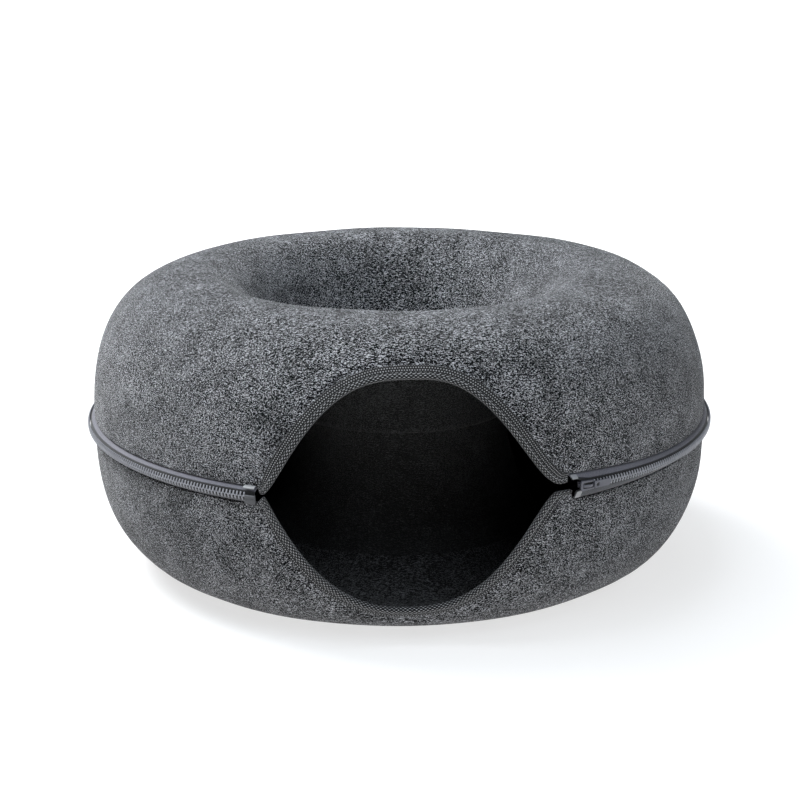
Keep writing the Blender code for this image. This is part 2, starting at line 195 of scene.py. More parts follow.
# The felt's grid: rows beside the cut edge, rows that blend, and rows of even arc down to the hole.
# Its first columns start at the door's edge, and the others at the zip's seam, on round the ring.
DOOR_COLUMNS, SEAM_COLUMNS, BLEND_ROWS, EVEN_ROWS = 170, 250, 14, 44
EDGE_ROWS = np.array([0, 0.0004, 0.0010, 0.0020, 0.0035, 0.0050, 0.0070, 0.0085, 0.0100,
                      0.0112, 0.0124, 0.0136, 0.0148, 0.0160])
EVEN_START, END_SHORT = 0.125, 0.0008
LEAN_MORE, LEAN_FADE = 1.3, 8.0
CORNER_COLUMNS, KEPT_EDGE_ROWS, EVENING_PASSES = (14, 44), 6, 90


def felt_grid(side):
    """Angles and arcs of the felt's grid, and how far past the door each column is."""
    left, right = DOOR_ENDS[side]
    inset = FELT_INSET + EDGE_ROWS
    angle, arc, into, _ = door_stations(side, DOOR_COLUMNS)
    leans = np.degrees(inset[-1] * into[:, 0] / arc_radius(side, arc))
    door_angles = [angle + leans * row / inset[-1] for row in inset]
    door_arcs = [arc + row * into[:, 1] for row in inset]

    seam_left, seam_right = SEAM_ENDS[side]
    ring = np.linspace(seam_right, 360 + seam_left, SEAM_COLUMNS)
    seam = SEAM_EDGE[side] + SEAM_WIDENING[side] * corner_lift(ring)
    lean = LEAN_MORE * leans[0] * np.exp(-((360 + left - ring) / LEAN_FADE) ** 2)
    lean += LEAN_MORE * leans[-1] * np.exp(-((ring - right) / LEAN_FADE) ** 2)
    ring_angles = [ring + lean * row / EDGE_ROWS[-1] for row in EDGE_ROWS]
    ring_arcs = [seam + row for row in EDGE_ROWS]

    angles = [np.concatenate(pair) for pair in zip(door_angles, ring_angles)]
    arcs = [np.concatenate(pair) for pair in zip(door_arcs, ring_arcs)]
    edge_angle, edge_arc = angles[-1], arcs[-1]
    even_angle = np.concatenate([np.linspace(left, right, DOOR_COLUMNS), ring])
    for share in np.linspace(0, 1, BLEND_ROWS + 1)[1:-1]:
        angles.append(edge_angle + (even_angle - edge_angle) * share)
        arcs.append(edge_arc + (EVEN_START - edge_arc) * share)
    for even_arc in np.linspace(EVEN_START, LAST_ARC[side] - END_SHORT, EVEN_ROWS):
        angles.append(even_angle)
        arcs.append(np.full(len(even_angle), even_arc))
    past_door = np.minimum(ring - right, 360 + left - ring)
    return np.array(angles), np.array(arcs), np.concatenate([np.zeros(DOOR_COLUMNS), past_door])


def even_corners(angles, arcs):
    """Evens out the grid at the door's flared corners, where its rows and columns crowd."""
    columns = angles.shape[1]
    corners = np.array([0, DOOR_COLUMNS, columns])
    from_corner = np.abs(np.arange(columns)[:, None] - corners).min(axis=1)
    evened = (1 - smooth(from_corner, *CORNER_COLUMNS)) * np.ones((len(angles), 1))
    evened[:KEPT_EDGE_ROWS] = 0
    evened[len(EDGE_ROWS) + BLEND_ROWS - 2:] = 0
    full_turn = np.zeros(columns)            # what the angle loses from the last column to the first
    full_turn[-1] = 360
    for _ in range(EVENING_PASSES):
        around = np.roll(angles, 1, axis=1) - np.roll(full_turn, 1)
        around = around + np.roll(angles, -1, axis=1) + full_turn
        around = around + np.roll(angles, 1, axis=0) + np.roll(angles, -1, axis=0)
        angles += evened * (around / 4 - angles)
        around = np.roll(arcs, 1, axis=1) + np.roll(arcs, -1, axis=1)
        around = around + np.roll(arcs, 1, axis=0) + np.roll(arcs, -1, axis=0)
        arcs += evened * (around / 4 - arcs)


WAVES = (   # turns round the ring, radians to a metre of arc, phase, share
    (3, 31, 0.7, 1.0), (7, -44, 2.1, 1.0), (13, 57, 4.0, 0.6), (5, 93, 0.0, 0.5),
)
WAVE_DEPTH = 0.00028
PRESSED_FADE, PRESSED_PAST_DOOR = (0.0100, 0.0150), (0.4, 1.6)
CUT_ROUNDING, CUT_SHARES = 0.0006, np.array([1.0, 0.42, 0.08])
# Inner faces of the lower shell below this height take the floor's copy with painted light.
PAINTED_LIGHT_FLOOR_TOP = 0.03


def unevenness(side, angles, arcs, inward):
    """Slow hand-made waves of the moulded felt, away from its sewn edges."""
    turn = np.radians(angles)
    loose = smooth(inward, 0.0150, 0.0400)[:, None] * smooth(LAST_ARC[side] - arcs, 0.01, 0.05)
    loose = loose * smooth(arcs, 0.010, 0.050)
    waves = sum(share * np.sin(turns * turn + rate * arcs + phase)
                for turns, rate, phase, share in WAVES)
    wave = WAVE_DEPTH * loose * waves
    if side == "lower":                      # the lowest felt stays flat on the floor
        wave = wave * (1 - smooth(arcs, 0.120, 0.140) * (1 - smooth(arcs, 0.195, 0.215)))
    return wave


def felt_shell(side):
    """The felt's two faces and its cut edges, pressed thin beside the door."""
    angles, arcs, past_door = felt_grid(side)
    even_corners(angles, arcs)
    rows, columns = angles.shape
    inward = np.full(rows, 1.0)              # past the edge's rows, any depth well inside will do
    inward[:len(EDGE_ROWS)] = EDGE_ROWS
    pressed = ((1 - smooth(inward, *PRESSED_FADE))[:, None]
               * (1 - smooth(past_door, *PRESSED_PAST_DOOR))[None, :])
    top = PRESSED_SINK * pressed + unevenness(side, angles, arcs, inward)
    bottom = top + FELT + (PRESSED_FELT - FELT) * pressed
    ease = np.zeros(rows)                    # the cut edges are slightly rounded
    ease[:len(CUT_SHARES)] = CUT_ROUNDING * CUT_SHARES
    ease[-1] = CUT_ROUNDING
    outer = felt_points(side, angles, arcs, top + ease[:, None])
    inner = felt_points(side, angles, arcs, bottom - ease[:, None])

    faces = grid_faces(rows, columns, ring_columns=True)
    sheet = len(faces)                       # faces of the outer side, and as many of the inner side
    faces += grid_faces(rows, columns, ring_columns=True, start=rows * columns)
    for row in (0, rows - 1):
        for j in range(columns):
            a, b = row * columns + j, row * columns + (j + 1) % columns
            faces.append((a, b, b + rows * columns, a + rows * columns))
    points = np.concatenate([outer.reshape(-1, 3), inner.reshape(-1, 3)])
    shell = new_piece("felt_" + side, points, faces)
    # Inner faces take the felt's painted-shade copy, and those low on the lower shell's floor a less
    # dark copy with painted light.
    for face in shell.data.polygons[sheet:2 * sheet]:
        face.material_index = 2 if side == "lower" and face.center.z < PAINTED_LIGHT_FLOOR_TOP else 1
    return shell


class Socket:
    """A socket in a material. Sums and products add Math nodes, and node() adds any other node."""

    def __init__(self, tree, socket=None):
        self.tree, self.socket = tree, socket

    def node(self, kind, settings=None, sockets=None, out=0):
        made = self.tree.nodes.new("ShaderNode" + kind)
        for key, value in (settings or {}).items():
            if key == "stops":
                stops = made.color_ramp.elements
                while len(stops) < len(value):
                    stops.new(0.5)
                for stop, (at, colour) in zip(stops, value):
                    stop.position, stop.color = at, (*colour, 1)
            else:
                setattr(made, key, value)
        for key, value in (sockets or {}).items():
            if isinstance(value, Socket):
                self.tree.links.new(value.socket, made.inputs[key])
            else:
                made.inputs[key].default_value = value
        return Socket(self.tree, made.outputs[out])

    def math(self, operation, *values):
        return self.node("Math", {"operation": operation}, dict(enumerate(values)))

    def mix(self, factor, first, second):
        """Mixes two colours."""
        return self.node("Mix", {"data_type": "RGBA"},
                         {0: factor, 6: (*first, 1), 7: (*second, 1)}, out=2)

    def __add__(self, other):
        return self.math("ADD", self, other)

    def __sub__(self, other):
        return self.math("SUBTRACT", self, other)

    def __rsub__(self, other):
        return self.math("SUBTRACT", other, self)

    def __mul__(self, other):
        return self.math("MULTIPLY", self, other)

    __radd__, __rmul__ = __add__, __mul__


def place_on(paint):
    """The place on the object itself, in metres."""
    return paint.node("TexCoord", out=3)


def noise(paint, place, scale, detail=2.0, roughness=0.5):
    return paint.node("TexNoise", None, {"Vector": place, "Scale": scale, "Detail": detail,
                                         "Roughness": roughness})


def span(paint, value, low, high):
    """0 at low and 1 at high."""
    return paint.node("MapRange", None, {"Value": value, "From Min": low, "From Max": high})


def ramp(paint, tone, *stops):
    return paint.node("ValToRGB", {"stops": stops}, {"Fac": tone})


def bump(paint, height, strength, distance):
    return paint.node("Bump", None, {"Strength": strength, "Distance": distance, "Height": height})


def new_material(name, **constants):
    """A material with its shader's constants set, a Socket on its tree, and the shader node."""
    made = bpy.data.materials.new(name)
    made.use_nodes = True
    shader = made.node_tree.nodes["Principled BSDF"]
    for key, value in constants.items():
        shader.inputs[key.replace("_", " ").title().replace("Ior", "IOR")].default_value = value
    return made, Socket(made.node_tree), shader


def wire(made, shader, **sources):
    """Links sockets to the shader's inputs of those names, and returns the finished material."""
    for key, source in sources.items():
        made.node_tree.links.new(source.socket, shader.inputs[key.replace("_", " ").title()])
    return made


FIBRE_WAYS = ((0, 0, 0.3), (0, 0, 1.5), (0, 1.2, 0.5), (0, 0.8, 2.2), (0.4, -0.9, 1.1), (0, 1.5, 0))
FIBRE_STRETCH = (330, 1650, 1650)            # the noise is drawn out along its first axis
FELT_DARKEST, FELT_PALEST = 0.712, 0.776     # range of the summed noises


def felt_fibres(paint, place):
    """Crossed fibre streaks, 0 to 1: the palest of several noises, each drawn out one way."""
    palest = None
    for k, way in enumerate(FIBRE_WAYS):
        drawn = paint.node("Mapping", None, {"Vector": place, "Location": (k * 3.1, k * 1.7, 0),
                                             "Rotation": way, "Scale": FIBRE_STRETCH})
        streak = noise(paint, drawn, 1.0, 1.0, 0.6)
        palest = streak if palest is None else palest.math("MAXIMUM", palest, streak)
    return palest


def felt_material(name, dark, middle, pale):
    made, paint, shader = new_material(name, roughness=0.95, sheen_weight=0.15,
                                       sheen_roughness=0.45, specular_ior_level=0.10)
    place = place_on(paint)
    streaks = felt_fibres(paint, place)
    grain = noise(paint, place, 1350.0, 1.0, 0.6)
    cloud = noise(paint, place, 45.0, 3.0, 0.6)
    tone = span(paint, streaks * 0.80 + grain * 0.34 + cloud * 0.08, FELT_DARKEST, FELT_PALEST)
    colour = ramp(paint, tone, (0.0, dark), (0.5, middle), (1.0, pale))
    return wire(made, shader, base_color=colour, normal=bump(paint, tone, 0.7, 0.0009))


felt_look = felt_material("grey_felt", dark=(0.0015, 0.0015, 0.0018),
                          middle=(0.047, 0.0475, 0.0505), pale=(0.56, 0.566, 0.592))
# Darker copies of the felt for its inner faces: painted shade inside the tunnel.
painted_shade_inside_look = felt_material("grey_felt_inside_painted_shade", dark=(0.016, 0.016, 0.016),
                            middle=(0.034, 0.035, 0.035), pale=(0.09, 0.092, 0.092))
# The inside floor's copy is painted shade, less dark than the walls' copy as painted light falling in
# through the door.
painted_light_and_shade_floor_look = felt_material("grey_felt_floor_painted_light_and_shade", dark=(0.010, 0.010, 0.010),
                                  middle=(0.055, 0.0555, 0.057), pale=(0.20, 0.202, 0.207))
for side in UP:
    shell = felt_shell(side)
    for look in (felt_look, painted_shade_inside_look, painted_light_and_shade_floor_look):
        shell.data.materials.append(look)
    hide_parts(side + "_shell")
    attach(shell, "root")


# ---------------------------------------------------------------- door bindings
# A dark grey woven tape, about 20 mm wide, is folded over each edge of the door and sewn through.
# It is woven in ribs along the edge. Beside the fold and over it, pale floats lie staggered from
# rib to rib.
BINDING_WIDTH = {"upper": 0.0100, "lower": 0.0075}
BINDING_INSIDE = 0.0090
BINDING_TAPERS = {"upper": (0.6, 0.8), "lower": (0.6, 0.3)}    # share of the width left at each end
BINDING_TAPER_LENGTH = 4.0
BINDING_COLUMNS, BINDING_TURN_ROWS, BINDING_LEG_ROWS = 420, 5, 14
OUTER_FACE = PRESSED_SINK - GAP - BINDING_TAPE
INNER_FACE = PRESSED_SINK + PRESSED_FELT + GAP + BINDING_TAPE
DARK_RIB, DARK_FLOAT, PALE_RIB, PALE_FLOAT = 0.0019, 0.0018, 0.00125, 0.0033
PALE_ROWS_START, PALE_ROWS_END, PLAIN_END = -0.0032, 0.0062, 0.0080    # across, from the fold's start
BINDING_SHADE = {"upper": 0.13, "lower": 0.12}


def strip_faces(rows, columns):
    """Faces of a long thin solid whose section is a ring of rows, with both its ends closed."""
    faces = grid_faces(rows, columns, ring_rows=True)
    for column in (0, columns - 1):
        faces.append(tuple(row * columns + column for row in range(rows)))
    return faces


def cloth_uvs(section, face_rows, zero_row, along):
    """UVs of a strip of cloth: metres along it, and metres across it from one row of its section.

    The section's first rows go over one face of the cloth, and the others back over the other."""
    across = [0.0]
    for k in range(1, len(section)):
        gone = np.mean(np.hypot(*(section[k] - section[k - 1])))
        across.append(across[-1] + (gone if k < face_rows else (-gone if k > face_rows else 0)))
    return [np.stack([along, np.full(len(along), value - across[zero_row])], axis=-1)
            for value in across]


def binding(side):
    """The folded tape: down the outside, round the fold and up the inside, and back."""
    stations = door_stations(side, BINDING_COLUMNS)
    angle, _, _, place = stations
    left, right = DOOR_ENDS[side]
    start, end = BINDING_TAPERS[side]
    from_left = smooth(angle - left, 0, BINDING_TAPER_LENGTH)
    from_right = smooth(right - angle, 0, BINDING_TAPER_LENGTH)
    width = BINDING_WIDTH[side] * (start + (1 - start) * from_left)
    width = width * (end + (1 - end) * from_right)
    inside = np.minimum(BINDING_INSIDE, width)
    turn = np.linspace(0, pi / 2, BINDING_TURN_ROWS)
    legs = np.linspace(1, 0, BINDING_LEG_ROWS)
    outer, inner = [], []
    big, small = BINDING_TAPE + GAP, GAP     # radii of the fold's outside and inside
    for share in legs[:-1]:
        outer.append((big + (width - big) * share, OUTER_FACE))
        inner.append((big + (width - big) * share, OUTER_FACE + BINDING_TAPE))
    for t in turn:
        outer.append((big - big * sin(t), OUTER_FACE + big - big * cos(t)))
        inner.append((big - small * sin(t), OUTER_FACE + big - small * cos(t)))
    for t in turn:
        outer.append((big - big * cos(t), INNER_FACE - big + big * sin(t)))
        inner.append((big - small * cos(t), INNER_FACE - big + small * sin(t)))
    for share in legs[::-1][1:]:
        outer.append((big + (inside - big) * share, INNER_FACE))
        inner.append((big + (inside - big) * share, INNER_FACE - BINDING_TAPE))
    section = [np.array(np.broadcast_arrays(inward, depth, place)[:2])
               for inward, depth in outer + inner[::-1]]
    rows = [from_edge(side, stations, inward, depth) for inward, depth in section]
    uvs = cloth_uvs(section, len(outer), BINDING_LEG_ROWS - 1, place)
    return new_piece("binding_" + side, rows, strip_faces(len(section), BINDING_COLUMNS), uvs)


def along_and_across(paint):
    """The two coordinates on a tape, in metres along it and across it."""
    cloth = paint.node("UVMap", {"uv_map": "cloth"})
    return [paint.node("SeparateXYZ", None, {"Vector": cloth}, out=k) for k in (0, 1)]


def woven_ribs(paint, along, across, rib, float_length):
    """Height of a tape woven in ribs along its length: floats, staggered from rib to rib."""
    rib_place = across * (1 / rib)
    rib_number = paint.math("FLOOR", rib_place)
    shifted = along * (1 / float_length) + rib_number * 0.5
    round_rib = paint.math("SINE", paint.math("FRACT", rib_place) * pi)
    round_float = paint.math("SINE", paint.math("FRACT", shifted) * pi)
    return paint.math("POWER", round_rib, 0.7) * paint.math("POWER", round_float, 0.8)


def band(paint, value, low, high, blur=0.0003):
    """1 between low and high, 0 outside, with soft ends."""
    rise = span(paint, value, low - blur, low + blur)
    fall = paint.node("MapRange", None, {"Value": value, "To Min": 1.0, "To Max": 0.0,
                                         "From Min": high - blur, "From Max": high + blur})
    return rise * fall


def binding_material(name, free_edge, shade):
    """Fine dark weave up to the free edge, pale floats beside and over the fold, a plain inside."""
    made, paint, shader = new_material(name, roughness=0.8, sheen_weight=0.1,
                                       specular_ior_level=0.2)
    along, across = along_and_across(paint)
    yarn = noise(paint, place_on(paint), 1500.0, 1.0)
    fine = woven_ribs(paint, along, across, DARK_RIB, DARK_FLOAT)
    floats = woven_ribs(paint, along, across, PALE_RIB, PALE_FLOAT)
    plain = band(paint, across, PALE_ROWS_END, PLAIN_END)
    pale_rows = band(paint, across, PALE_ROWS_START, PALE_ROWS_END)
    dark_rows = band(paint, across, free_edge, PALE_ROWS_START)
    tone = fine * dark_rows * 0.84 + floats * pale_rows * 0.84 + plain * 0.24 + yarn * 0.36 - shade
    colour = ramp(paint, tone, (0.20, (0.0008, 0.0008, 0.0008)), (0.52, (0.010, 0.010, 0.0104)),
                  (0.76, (0.13, 0.13, 0.133)), (1.0, (0.66, 0.66, 0.67)))
    return wire(made, shader, base_color=colour, normal=bump(paint, tone, 0.8, 0.0005))


for side in UP:
    tape = binding(side)
    free_edge = 0.0001 - (BINDING_WIDTH[side] - BINDING_TAPE - GAP)
    tape.data.materials.append(
        binding_material("woven_binding_" + side, free_edge, BINDING_SHADE[side]))
    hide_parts(side + "_binding")
    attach(tape, "root")


# ---------------------------------------------------------------- sewing on the bindings
# Each binding is sewn through tape and felt with one row of pale grey thread, beside the fold. The
# stitches are a little over 2 mm long and sit a little sunk in the tape.
STITCH, STITCH_GAP, THREAD, STITCH_LINE = 0.0022, 0.0011, 0.00030, 0.0034
STITCH_SLIMMING, STITCH_DIP, STITCH_FLATNESS = 0.45, 0.00022, 0.5
STATIONS_TO_A_STITCH = 24


def one_stitch():
    """A length of thread, thinner at both ends, where it dips into the cloth."""
    bpy.ops.object.select_all(action="DESELECT")
    bpy.ops.mesh.primitive_cylinder_add(vertices=6, radius=THREAD, depth=STITCH,
                                        location=(0, 0, 0), rotation=(0, pi / 2, 0))
    stitch = bpy.context.object
    bpy.ops.object.transform_apply(location=True, rotation=True, scale=True)
    bpy.ops.object.mode_set(mode="EDIT")
    bpy.ops.mesh.select_mode(type="EDGE")
    bpy.ops.mesh.select_all(action="DESELECT")
    mesh = bmesh.from_edit_mesh(stitch.data)
    for edge in mesh.edges:
        a, b = edge.verts
        edge.select = abs(a.co.x - b.co.x) > STITCH / 2
    bmesh.update_edit_mesh(stitch.data)
    bpy.ops.mesh.subdivide(number_cuts=4)
    mesh = bmesh.from_edit_mesh(stitch.data)
    for vert in mesh.verts:
        x, y, z = vert.co
        share = abs(x) / (STITCH / 2)
        slim = 1 - STITCH_SLIMMING * share ** 4
        vert.co = Vector((x, y * slim, z * slim - STITCH_DIP * share ** 3))
    bmesh.update_edit_mesh(stitch.data)
    bpy.ops.object.mode_set(mode="OBJECT")
    return stitch


def shape_of(piece):
    """The points and the faces of a small piece that is copied many times."""
    points = np.array([vert.co for vert in piece.data.vertices])
    return points, [tuple(face.vertices) for face in piece.data.polygons]


def joined_copies(name, copies, shapes):
    """One mesh from the placed points of many copies of one piece."""
    faces = [tuple(v + k * len(points) for v in shape)
             for k, points in enumerate(copies) for shape in shapes]
    return new_piece(name, np.concatenate(copies), faces)


def sewing(side, stitch):
    """A row of stitches along one binding."""
    points, shapes = shape_of(stitch)
    length = door_stations(side, 2)[3][-1]
    count = int(length / (STITCH + STITCH_GAP))
    angle, arc, into, place = door_stations(side, count * STATIONS_TO_A_STITCH)
    copies = []
    for k in range(count):
        middle = place[k * STATIONS_TO_A_STITCH + STATIONS_TO_A_STITCH // 2]
        along = middle + points[:, 0]
        near = [np.interp(along, place, values)
                for values in (angle, arc, into[:, 0], into[:, 1])]
        here = (near[0], near[1], np.stack(near[2:4], axis=-1), along)
        copies.append(from_edge(side, here, STITCH_LINE + points[:, 1],
                                OUTER_FACE - STITCH_FLATNESS * points[:, 2]))
    return joined_copies("stitches_" + side, copies, shapes)


def thread_material():
    made, paint, shader = new_material("sewing_thread", roughness=0.6, specular_ior_level=0.3)
    twist = noise(paint, place_on(paint), 2500.0)
    return wire(made, shader, base_color=paint.mix(twist, (0.08, 0.08, 0.082), (0.40, 0.40, 0.41)))


thread_look = thread_material()
stitch = one_stitch()
for side in UP:
    row = sewing(side, stitch)
    row.data.materials.append(thread_look)
    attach(row, "root")
bpy.data.objects.remove(stitch, do_unlink=True)


# ---------------------------------------------------------------- zip tapes
# Two woven grey tapes are sewn behind the felt's edges. They bulge out under those edges and carry
# the teeth. A sunk line of sewing runs along each, beside the teeth, drawn as a line of painted shade,
# and each tape is painted near black under the teeth as shade. The lower tape is a darker copy of
# the upper one, as painted shade.
CHAIN_RADIUS, CHAIN_HALF, CHAIN_LIFT = 0.2549, 0.0027, 0.0025
CHAIN_ENDS = (-27.5, 31.4)
ZIP_TAPE, ZIP_TAPE_COLUMNS, TAPE_BEHIND_FELT, LEAST_BULGE = 0.0010, 620, 0.0110, 0.0018
PARTING, PARTING_LENGTH = {"upper": 0.0045, "lower": 0.0034}, 2.5
# Across the tape, from its edge under the teeth. Its back has the measures above zero.
# Bands of painted shade: one along the sunk sewing, and one near black under the teeth.
SEAM_SHADE_START, SEAM_SHADE_END, SHADE_UNDER_TEETH_END = -0.0036, -0.0029, 0.0040


def zip_points(side, angle, radius, height):
    """Points beside the chain: heights are measured from the chain's own centre line."""
    centre = RING_HEIGHT / 2 + CHAIN_LIFT * corner_lift(angle)
    return ring_points(angle, radius, centre + UP[side] * height)


def tape_line(side, angle):
    """The tape's middle line in section, from behind the felt to the chain: radii and heights."""
    edge = SEAM_EDGE[side] + SEAM_WIDENING[side] * corner_lift(angle)
    edge = edge - UP[side] * CHAIN_LIFT * corner_lift(angle)
    behind = RING_RADIUS - FELT - GAP - ZIP_TAPE
    parting = PARTING[side] * np.clip((CHAIN_ENDS[1] - angle) / PARTING_LENGTH, 0, 1)
    chain_edge = CHAIN_HALF + 0.0003 + 0.6 * parting
    edge = np.maximum(edge, chain_edge + LEAST_BULGE)
    same = np.ones_like(angle)
    return [
        ((behind - 0.0002) * same, edge + TAPE_BEHIND_FELT),       # the edge that is sewn down
        (behind * same, edge + 0.0006),                            # under the felt's edge
        ((behind + 0.0012) * same, edge - 0.0009),                 # past that edge, turning out
        ((RING_RADIUS - 0.0004) * same, edge - 0.0012),            # level with the felt's face
        ((CHAIN_RADIUS - 0.0023) * same, chain_edge),              # bent down beside the teeth
        ((CHAIN_RADIUS - 0.0020) * same, GAP + parting),           # the edge under the teeth
    ]


def rounded_line(line):
    """Puts more points on an open line of points, cutting its corners twice as cloth's bends do."""
    line = [np.array(point) for point in line]
    for _ in range(2):
        finer = [line[0]]
        for a, b in zip(line, line[1:]):
            finer += [a * 0.75 + b * 0.25, a * 0.25 + b * 0.75]
        line = finer + [line[-1]]
    return line


def beside_line(line, distance):
    """Moves a line of points in section sideways by a distance."""
    moved = []
    for k, point in enumerate(line):
        along = line[min(k + 1, len(line) - 1)] - line[max(k - 1, 0)]
        along = along / np.hypot(*along)
        moved.append(point + distance * np.array([along[1], -along[0]]))
    return moved


def zip_tape(side):
    left, right = SEAM_ENDS[side]
    angle = np.linspace(right, 360 + left, ZIP_TAPE_COLUMNS)
    line = rounded_line(tape_line(side, angle))
    section = beside_line(line, -ZIP_TAPE / 2) + beside_line(line, ZIP_TAPE / 2)[::-1]
    rows = [zip_points(side, angle, radius, height) for radius, height in section]
    along = np.radians(angle - right) * RING_RADIUS
    uvs = cloth_uvs(section, len(line), len(line) - 1, along)
    return new_piece("tape_" + side, rows, strip_faces(len(section), ZIP_TAPE_COLUMNS), uvs)


def zip_tape_material(name, dark, pale):
    made, paint, shader = new_material(name, roughness=0.7, sheen_weight=0.2,
                                       specular_ior_level=0.3)
    along, across = along_and_across(paint)
    weave = woven_ribs(paint, along, across, rib=0.00055, float_length=0.0011)
    yarn = noise(paint, place_on(paint), 1300.0, 1.0)
    # Painted shade: a dark line along the sewing, and the tape near black under the teeth.
    seam_shade = band(paint, across, SEAM_SHADE_START, SEAM_SHADE_END, 0.0002)
    shade_under_teeth = band(paint, across, SEAM_SHADE_END, SHADE_UNDER_TEETH_END, 0.0001)
    tone = span(paint, weave * 0.5 + yarn * 0.7 - seam_shade * 0.8 - shade_under_teeth * 1.2, 0.1, 0.95)
    colour = ramp(paint, tone, (0.0, (0.004, 0.004, 0.005)), (0.15, dark), (1.0, pale))
    return wire(made, shader, base_color=colour, normal=bump(paint, tone, 0.5, 0.0003))


zip_tape_look = {
    "upper": zip_tape_material("woven_zip_tape", (0.034, 0.0335, 0.043), (0.175, 0.173, 0.203)),
    # The lower tape is the same tape, darkened as painted shade.
    "lower": zip_tape_material("woven_zip_tape_painted_shade", (0.012, 0.012, 0.015), (0.075, 0.076, 0.087)),
}
for side in UP:
    tape = zip_tape(side)
    tape.data.materials.append(zip_tape_look[side])
    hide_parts("zip_tape_" + side)
    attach(tape, "root")


# ---------------------------------------------------------------- coil teeth
# Grey coil teeth, one each 2.95 mm along either tape. Their round heads reach past the middle and
# hook between the heads of the other side.
TOOTH_PITCH, TOOTH_RADIUS, TOOTH_TOP = 0.00295, 0.00060, 0.00255
TOOTH_STEPS = (   # outward move, downward move, growth of the section
    (-0.00035, -0.00035, 1.03), (-0.00020, -0.00060, 1.02), (0.0, -0.00080, 1.0),
    (0.00008, -0.00050, 1.10), (0.00006, -0.00030, 0.85), (0.00004, -0.00012, 0.45),
)


def one_tooth():
    """One turn of the coil: a bar that rises from the tape, crosses over and ends in a head."""
    bpy.ops.object.select_all(action="DESELECT")
    bpy.ops.mesh.primitive_cylinder_add(vertices=8, radius=TOOTH_RADIUS, depth=0.0006,
                                        location=(0, -0.0002, TOOTH_TOP), end_fill_type="NGON")
    tooth = bpy.context.object
    bpy.ops.object.transform_apply(location=True, rotation=True, scale=True)
    bpy.ops.object.mode_set(mode="EDIT")
    bpy.ops.mesh.select_mode(type="FACE")
    for outward, down, growth in TOOTH_STEPS:
        bpy.ops.mesh.select_all(action="DESELECT")
        mesh = bmesh.from_edit_mesh(tooth.data)
        min(mesh.faces, key=lambda face: face.calc_center_median().z).select = True
        bmesh.update_edit_mesh(tooth.data)
        bpy.ops.mesh.extrude_region_move(TRANSFORM_OT_translate={"value": (0, outward, down)})
        mesh = bmesh.from_edit_mesh(tooth.data)
        face = next(f for f in mesh.faces if f.select)
        middle = face.calc_center_median()
        for vert in face.verts:
            vert.co = middle + (vert.co - middle) * growth
        bmesh.update_edit_mesh(tooth.data)
    bpy.ops.object.mode_set(mode="OBJECT")
    return tooth


def teeth_row(side, tooth):
    """The teeth along one side of the chain. The lower ones lie between the upper ones."""
    points, shapes = shape_of(tooth)
    right, left = CHAIN_ENDS[1], 360 + CHAIN_ENDS[0]
    pitch = np.degrees(TOOTH_PITCH / CHAIN_RADIUS)
    axis = CHAIN_RADIUS - 0.0006
    copies = []
    for angle in np.arange(right + (0 if side == "upper" else pitch / 2), left, pitch):
        along = angle + np.degrees(points[:, 0] / CHAIN_RADIUS)
        copies.append(zip_points(side, along, axis - points[:, 1], points[:, 2]))
    return joined_copies("teeth_" + side, copies, shapes)


def teeth_material():
    made, paint, shader = new_material("coil_teeth", roughness=0.35, specular_ior_level=0.5)
    speck = noise(paint, place_on(paint), 380.0)
    colour = paint.mix(speck, (0.16, 0.162, 0.180), (0.35, 0.353, 0.378))
    return wire(made, shader, base_color=colour)


teeth_look = teeth_material()
tooth = one_tooth()
for side in UP:
    row = teeth_row(side, tooth)
    row.data.materials.append(teeth_look)
    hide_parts("zip_teeth_" + side)
    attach(row, "root")
bpy.data.objects.remove(tooth, do_unlink=True)


# ---------------------------------------------------------------- retainer box
# A small moulded box of grey plastic at the left corner of the door. It holds the ends of both
# tapes, and the slider stops against it when the zip is opened.
BOX_LENGTH, BOX_DEPTH, BOX_HEIGHT, BOX_DROP = 0.0084, 0.0024, 0.0066, 0.0020
BOX_ROUNDING, GROOVE_WIDTH, GROOVE_RISE = 0.0007, 0.0005, 0.0008
BOX_ANGLE, BOX_RADIUS = CHAIN_ENDS[0] + 1.1, CHAIN_RADIUS + 0.0005


def zip_frame(angle, radius):
    """Frame on the chain: X along the zip, Y towards the middle of the ring, Z up."""
    origin = Vector(zip_points("upper", np.array([angle]), radius, 0.0)[0])
    return Matrix.Translation(origin) @ Matrix.Rotation(radians(angle), 4, "Z")


def round_edges(piece, pick, offset, segments):
    """Bevels the edges of a piece that pick accepts, given the places of their two ends."""
    bpy.ops.object.select_all(action="DESELECT")
    bpy.context.view_layer.objects.active = piece
    piece.select_set(True)
    bpy.ops.object.mode_set(mode="EDIT")
    bpy.ops.mesh.select_mode(type="EDGE")
    bpy.ops.mesh.select_all(action="DESELECT")
    mesh = bmesh.from_edit_mesh(piece.data)
    for edge in mesh.edges:
        if pick(edge.verts[0].co, edge.verts[1].co):
            edge.select_set(True)
    bmesh.update_edit_mesh(piece.data)
    bpy.ops.mesh.bevel(offset=offset, segments=segments)
    bpy.ops.object.mode_set(mode="OBJECT")


def new_block(name, size, centre):
    """A box of the given size, still in its maker's own frame."""
    bpy.ops.object.select_all(action="DESELECT")
    bpy.ops.mesh.primitive_cube_add(size=1, location=centre, scale=size)
    made = bpy.context.object
    made.name = name
    bpy.ops.object.transform_apply(location=True, rotation=True, scale=True)
    return made


def modify(piece, kind, **settings):
    """Adds a modifier and applies it."""
    bpy.context.view_layer.objects.active = piece
    made = piece.modifiers.new(kind.lower(), kind)
    for key, value in settings.items():
        setattr(made, key, value)
    bpy.ops.object.modifier_apply(modifier=made.name)


